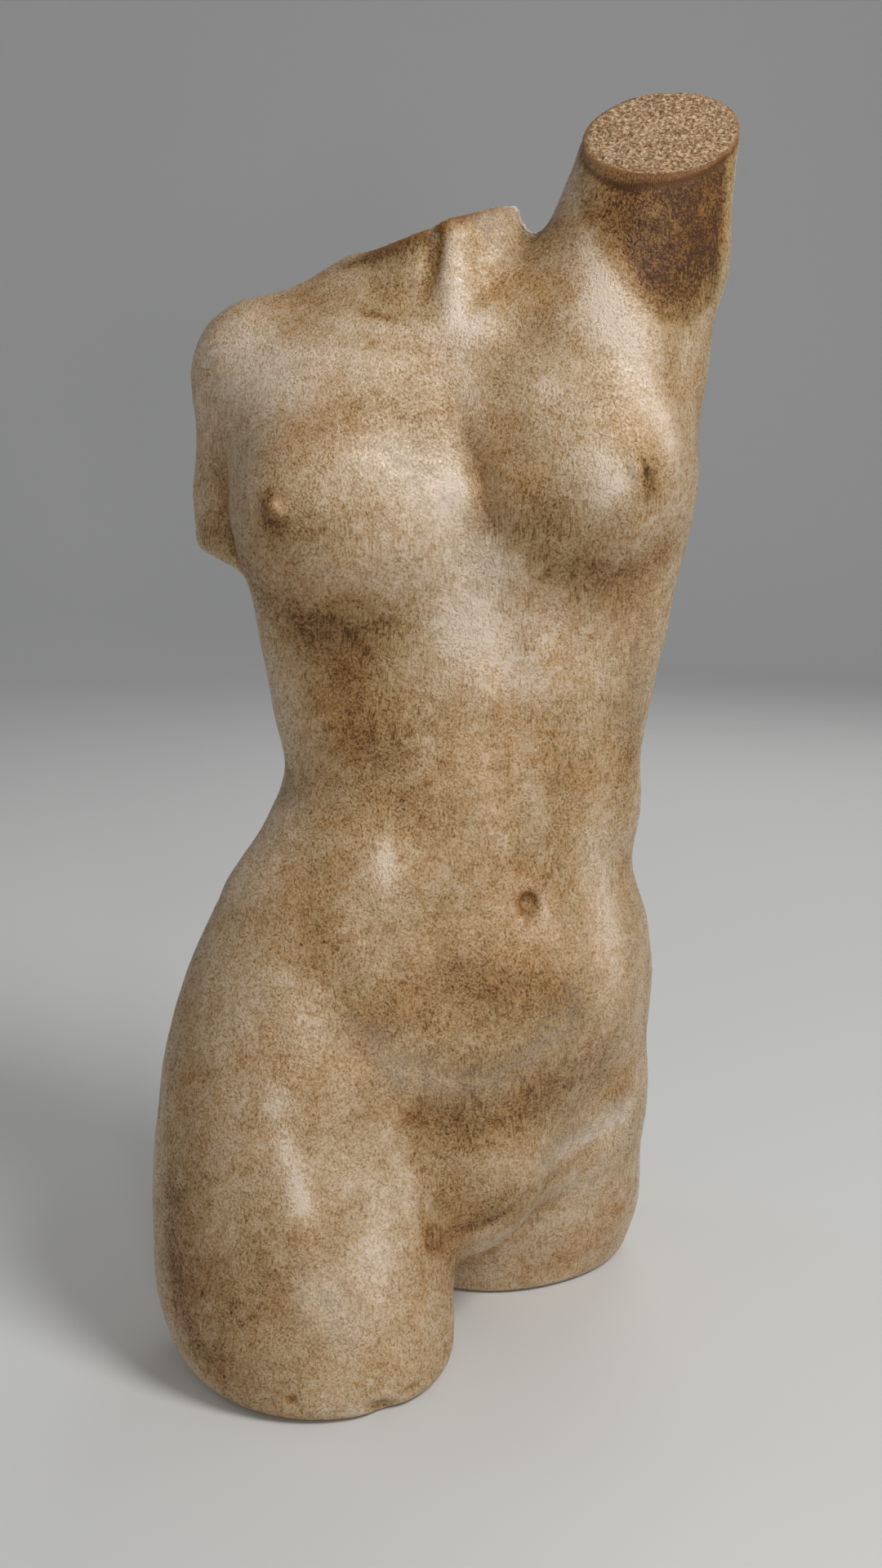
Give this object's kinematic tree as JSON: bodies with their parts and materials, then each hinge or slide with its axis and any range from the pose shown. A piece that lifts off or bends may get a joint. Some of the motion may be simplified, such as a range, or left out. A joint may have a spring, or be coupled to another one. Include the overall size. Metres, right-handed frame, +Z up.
{
  "type": "torso sculpture",
  "caption": "Headless female torso in cast stone with a raised arm stump, a hanging arm stump and cut thighs, standing on its own level cuts.",
  "frame": {"origin": "middle of the footprint box, on the floor under the thigh cuts", "axes": "+Z up the figure, the chest faces -Y, the figure's right side is towards -X"},
  "size_m": [0.3672, 0.3432, 0.8019],
  "materials": {
    "stone": "waxed brown patina on beige cast stone"
  },
  "bodies": {
    "root": {"torso": "stone"}
  },
  "joints": []
}
